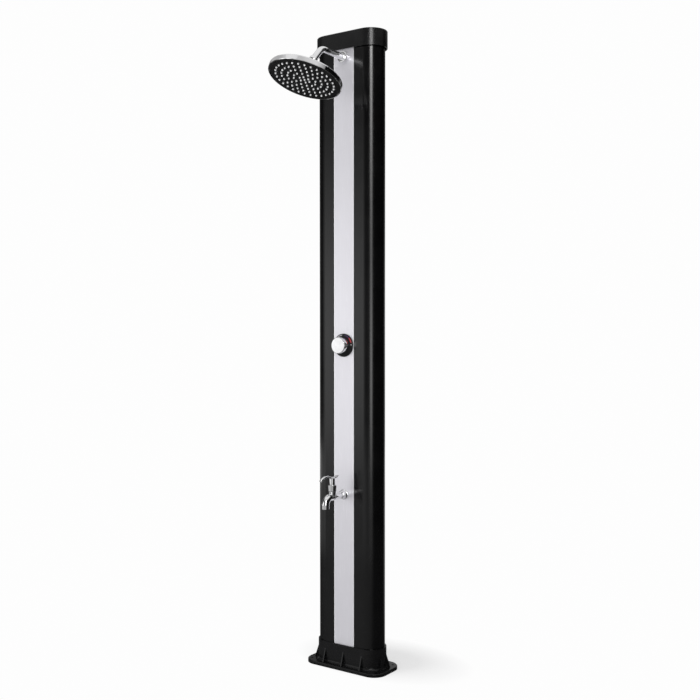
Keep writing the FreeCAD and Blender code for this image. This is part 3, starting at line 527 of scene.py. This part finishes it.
def makeTicks(look):
    half = look["tickWidth"] / 2
    ticks = printedMarks("dialTicks", [
        conePatch(look, look["tickReach"], turn - half, turn + half, look["tickSteps"])
        for turn in look["tickTurns"]])
    ticks.data.materials.append(plainFinish("tickInk", tickLook))
    return ticks


dress(mattBlack("dialBlack", dialLook), "dial_ring")
for piece in (makeBand(marksLook), makeTicks(marksLook)):
    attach(piece, "post")
print("dial finished")


# studio: white surroundings, and a paper floor that keeps a soft shadow close to the post

studioLook = {
    "paperWhite": (0.985, 0.985, 0.985),
    "seenPower": 1.0,
    "ambientTone": (1, 1, 1),
    "ambient": 0.62,
    "floorSize": 9.0,
    "floorSides": 96,
    "floorTone": (0.93, 0.93, 0.935),
    "floorRough": 0.9,
    "floorGloss": 0.1,
    "shadeMiddle": (0.050, 0.115),    # x and y where the floor's own shading is strongest
    "shadeReach": (0.35, 0.22),       # how far it goes from there
    "shadeFull": 0.6,                 # the part of that way, from outside, on which it grows
    "glowLeft": 0.50,                 # the plain glow's share where the shading is strongest
}


def lightPathFactor(tree):
    # one for what the camera sees, also in gloss or through glass; zero for light that is cast
    path = addNode(tree, "LightPath").outputs
    seen = mathOf(tree, "MAXIMUM", path["Is Camera Ray"], path["Is Glossy Ray"])
    return mathOf(tree, "MAXIMUM", seen, path["Is Transmission Ray"])


def mixedShader(tree, factor, first, second):
    mix = addNode(tree, "MixShader")
    tree.links.new(factor, mix.inputs["Fac"])
    tree.links.new(first, mix.inputs[1])
    tree.links.new(second, mix.inputs[2])
    return mix.outputs[0]


def makeWorld(look):
    world = bpy.data.worlds.new("studioWorld")
    bpy.context.scene.world = world
    world.use_nodes = True
    tree = world.node_tree
    tree.nodes.clear()
    seen = addNode(tree, "Background", Strength=look["seenPower"], Color=(*look["paperWhite"], 1))
    lit = addNode(tree, "Background", Strength=look["ambient"], Color=(*look["ambientTone"], 1))
    both = mixedShader(tree, lightPathFactor(tree), lit.outputs[0], seen.outputs[0])
    tree.links.new(both, addNode(tree, "OutputWorld").inputs["Surface"])


def glowShare(tree, look):
    # one further out, less close to the post
    (x, y), (reachX, reachY) = look["shadeMiddle"], look["shadeReach"]
    around = objectSpace(tree, (1 / reachX, 1 / reachY, 1), (-x / reachX, -y / reachY, 0))
    rings = addNode(tree, "TexGradient", {"gradient_type": "SPHERICAL"})
    tree.links.new(around, rings.inputs["Vector"])
    return spread(tree, rings.outputs["Fac"], 1, look["glowLeft"], 0, look["shadeFull"])


def floorPaper(look):
    # shaded paper close to the post, plain glowing white further out
    finish, tree, shader = newFinish("floorPaper")
    shader.inputs["Base Color"].default_value = (*look["floorTone"], 1)
    shader.inputs["Roughness"].default_value = look["floorRough"]
    shader.inputs["Specular IOR Level"].default_value = look["floorGloss"]
    glow = addNode(tree, "Emission", Strength=look["seenPower"], Color=(*look["paperWhite"], 1))
    share = mathOf(tree, "MULTIPLY", glowShare(tree, look), lightPathFactor(tree))
    both = mixedShader(tree, share, shader.outputs[0], glow.outputs[0])
    tree.links.new(both, tree.nodes["Material Output"].inputs["Surface"])
    return finish


def makeFloor(look):
    bpy.ops.mesh.primitive_circle_add(vertices=look["floorSides"], radius=look["floorSize"],
                                      fill_type="NGON")
    floor = bpy.context.object
    floor.name = "studioFloor"
    floor.data.materials.append(floorPaper(look))


# black and white cloth round the set, which glows by itself and is seen only by reflections
# a row of stops gives degrees from the front towards the right, and how light the cloth is there;
# a rise gives the share of the height, from the bottom, and how much of that light is left

clothLook = {
    "sides": 96,
    "radius": 4.2,
    "under": 0.05,        # the wall goes this far below the floor
    "top": 3.4,
    "wallPower": 1.9,
    "wall": ((-180, 0.30), (-152, 0.40), (-142, 0.12), (-110, 0.10), (-92, 0.03), (-64, 0.03),
             (-52, 0.30), (-44, 0.75), (-40, 1.0), (-36, 0.58), (-32, 0.46), (-28, 0.92),
             (-24, 0.80), (-16, 0.12), (0, 0.07), (20, 0.10), (54, 0.02), (60, 0.006),
             (156, 0.006), (163, 0.05), (170, 0.16), (180, 0.30)),
    "wallRise": ((0.0, 0.50), (0.16, 0.76), (0.34, 0.96), (0.46, 0.88), (0.55, 0.68),
                 (0.80, 0.22), (1.0, 0.18)),
    "lowInset": 0.05,     # the low ring hangs this far inside the wall
    "lowTop": 0.27,
    "low": ((-180, 0.75), (-150, 0.75), (-142, 0.25), (-105, 0.80), (-45, 0.95), (-36, 0.62),
            (-12, 0.60), (0, 0.40), (14, 0.28), (20, 0.85), (31, 0.85), (36, 0.55),
            (44, 0.40), (52, 0.02), (154, 0.01), (164, 0.10), (180, 0.40)),
    "highTop": 6.0,
    "high": ((-180, 0.95), (-150, 0.90), (-140, 0.50), (-60, 0.45), (-40, 0.60), (20, 0.55),
             (60, 0.70), (118, 0.75), (134, 0.05), (156, 0.02), (166, 0.85), (180, 0.95)),
    "highRise": ((0.0, 0.35), (0.3, 1.0), (1.0, 1.0)),
    "ceiling": ((-180, 0.80), (180, 0.80)),
    "floorRadius": 1.9,
    "floorLift": 0.0004,
    "floor": ((-180, 0.40), (-152, 0.30), (-140, 0.04), (-100, 0.04), (-70, 0.12), (-55, 0.20),
              (-36, 0.26), (-20, 0.26), (20, 0.24), (45, 0.16), (60, 0.05), (155, 0.03),
              (168, 0.35), (180, 0.40)),
    "outerLift": 0.0002,
    "outer": ((-180, 0.60), (-152, 0.40), (-142, 0.04), (-106, 0.04), (-94, 0.36), (-66, 0.42),
              (-45, 0.75), (-40, 0.30), (-31, 0.30), (-26, 0.50), (-4, 0.42), (14, 0.30),
              (31, 0.45), (48, 0.35), (56, 0.02), (154, 0.01), (165, 0.20), (180, 0.60)),
}

# a tall upright light to the right of the camera: the column's narrow highlight
uprightLook = {
    "planeSize": 1,
    "turn": 38,
    "inset": 0.15,
    "width": 1.9,
    "power": 6.6,
    "rise": ((0.0, 0.14), (0.05, 0.18), (0.14, 0.50), (0.34, 0.62), (0.51, 0.30), (0.70, 0.65),
             (0.83, 1.0), (0.91, 1.15), (0.94, 2.4), (1.0, 4.0)),
    "across": ((0.0, 0.0), (0.4, 1.0), (0.6, 1.0), (1.0, 0.0)),
}


def shadeRamp(tree, value, stops):
    return colourRamp(tree, value, [(place, (tone, tone, tone)) for place, tone in stops])


def product(tree, first, second):
    both = addNode(tree, "VectorMath", {"operation": "MULTIPLY"})
    tree.links.new(first, both.inputs[0])
    tree.links.new(second, both.inputs[1])
    return both.outputs[0]


def glowFinish(name, power):
    # a finish that only gives off light, and the socket for its tone
    finish, tree, shader = newFinish(name)
    tree.nodes.remove(shader)
    glow = addNode(tree, "Emission", Strength=power)
    tree.links.new(glow.outputs[0], tree.nodes["Material Output"].inputs["Surface"])
    return finish, tree, glow.inputs["Color"]


def clothTone(name, stops, power=1.0, height=None, rise=None):
    # a glow that changes round the set, and with height too where a rise is given
    finish, tree, glowTone = glowFinish(name, power)
    axes = axesOf(tree, objectSpace(tree, (1, -1, 1)))
    angle = mathOf(tree, "ARCTAN2", axes["X"], axes["Y"])
    turn = spread(tree, angle, 0, 1, -math.pi, math.pi)    # half way is straight in front
    tone = shadeRamp(tree, turn, [((degrees + 180) / 360, level) for degrees, level in stops])
    if rise:
        upward = spread(tree, axes["Z"], 0, 1, -height / 2, height / 2)
        tone = product(tree, tone, shadeRamp(tree, upward, rise))
    tree.links.new(tone, glowTone)
    return finish


def onlyReflected(piece):
    piece.visible_camera = False
    piece.visible_diffuse = False
    piece.visible_shadow = False
    piece.visible_transmission = False


def hangPiece(name, finish):
    # the mesh that has just been added
    piece = bpy.context.object
    piece.name = name
    piece.data.materials.append(finish)
    onlyReflected(piece)


def clothRing(look, name, radius, low, high, finish):
    bpy.ops.mesh.primitive_cylinder_add(vertices=look["sides"], radius=radius, depth=high - low,
                                        end_fill_type="NOTHING", location=(0, 0, (low + high) / 2))
    hangPiece(name, finish)


def clothDisc(look, name, radius, z, finish):
    bpy.ops.mesh.primitive_circle_add(vertices=look["sides"], radius=radius, fill_type="NGON",
                                      location=(0, 0, z))
    hangPiece(name, finish)


def hangCloth(look):
    radius, under, top, highTop = look["radius"], look["under"], look["top"], look["highTop"]
    wall = clothTone("clothStripes", look["wall"], look["wallPower"], top + under, look["wallRise"])
    low = clothTone("clothLowTone", look["low"])
    high = clothTone("clothHighTone", look["high"], 1.0, highTop - top, look["highRise"])
    clothRing(look, "clothWall", radius, -under, top, wall)
    clothRing(look, "clothLow", radius - look["lowInset"], -under, look["lowTop"], low)
    clothRing(look, "clothHigh", radius, top, highTop, high)
    floor = clothTone("clothFloorTone", look["floor"])
    outer = clothTone("clothOuterTone", look["outer"])
    clothDisc(look, "clothFloor", look["floorRadius"], look["floorLift"], floor)
    clothDisc(look, "clothOuter", radius, look["outerLift"], outer)
    clothDisc(look, "clothCeiling", radius, highTop, clothTone("clothSky", look["ceiling"]))


def uprightGlow(look):
    # uneven up its height, brightest at the top, and fading out at both sides
    finish, tree, glowTone = glowFinish("stripGlow", look["power"])
    axes = axesOf(tree, objectSpace(tree))
    half = look["planeSize"] / 2    # its own coordinates are those from before it is scaled
    upward = shadeRamp(tree, spread(tree, axes["Y"], 0, 1, -half, half), look["rise"])
    across = shadeRamp(tree, spread(tree, axes["X"], 0, 1, -half, half), look["across"])
    tone = product(tree, upward, across)
    tree.links.new(tone, glowTone)
    return finish


def hangUpright(look, radius, height):
    turn = math.radians(look["turn"])
    far = radius - look["inset"]
    bpy.ops.mesh.primitive_plane_add(size=look["planeSize"])
    upright = bpy.context.object
    upright.scale = (look["width"], height, 1)
    upright.rotation_euler = (math.pi / 2, 0, turn)
    upright.location = (far * math.sin(turn), -far * math.cos(turn), height / 2)
    hangPiece("stripLight", uprightGlow(look))


# soft lamps: they light the set, and the cloth is what the gloss shows

lampLook = {
    "frontSoft": {"place": (-1.9, -2.7, 1.1), "aim": (0, 0, 0.9), "size": (1.6, 2.2), "power": 38},
    "rightStrip": {"place": (2.3, -2.5, 2.2), "aim": (0, 0, 1.5), "size": (0.35, 1.6), "power": 6},
    "topSoft": {"place": (0.2, -0.6, 3.6), "aim": (0, 0, 1.0), "size": (1.8, 1.4), "power": 14},
}


def softLamp(name, look):
    light = bpy.data.lights.new(name, "AREA")
    light.shape = "RECTANGLE"
    light.size, light.size_y = look["size"]
    light.energy = look["power"]
    lamp = bpy.data.objects.new(name, light)
    bpy.context.scene.collection.objects.link(lamp)
    lamp.location = look["place"]
    sight = Vector(look["aim"]) - Vector(look["place"])
    lamp.rotation_euler = sight.to_track_quat("-Z", "Y").to_euler()
    lamp.visible_glossy = False


makeWorld(studioLook)
makeFloor(studioLook)
hangCloth(clothLook)
hangUpright(uprightLook, clothLook["radius"], clothLook["top"])
for name, look in lampLook.items():
    softLamp(name, look)
bpy.context.scene.view_settings.view_transform = "Standard"
print("studio set")
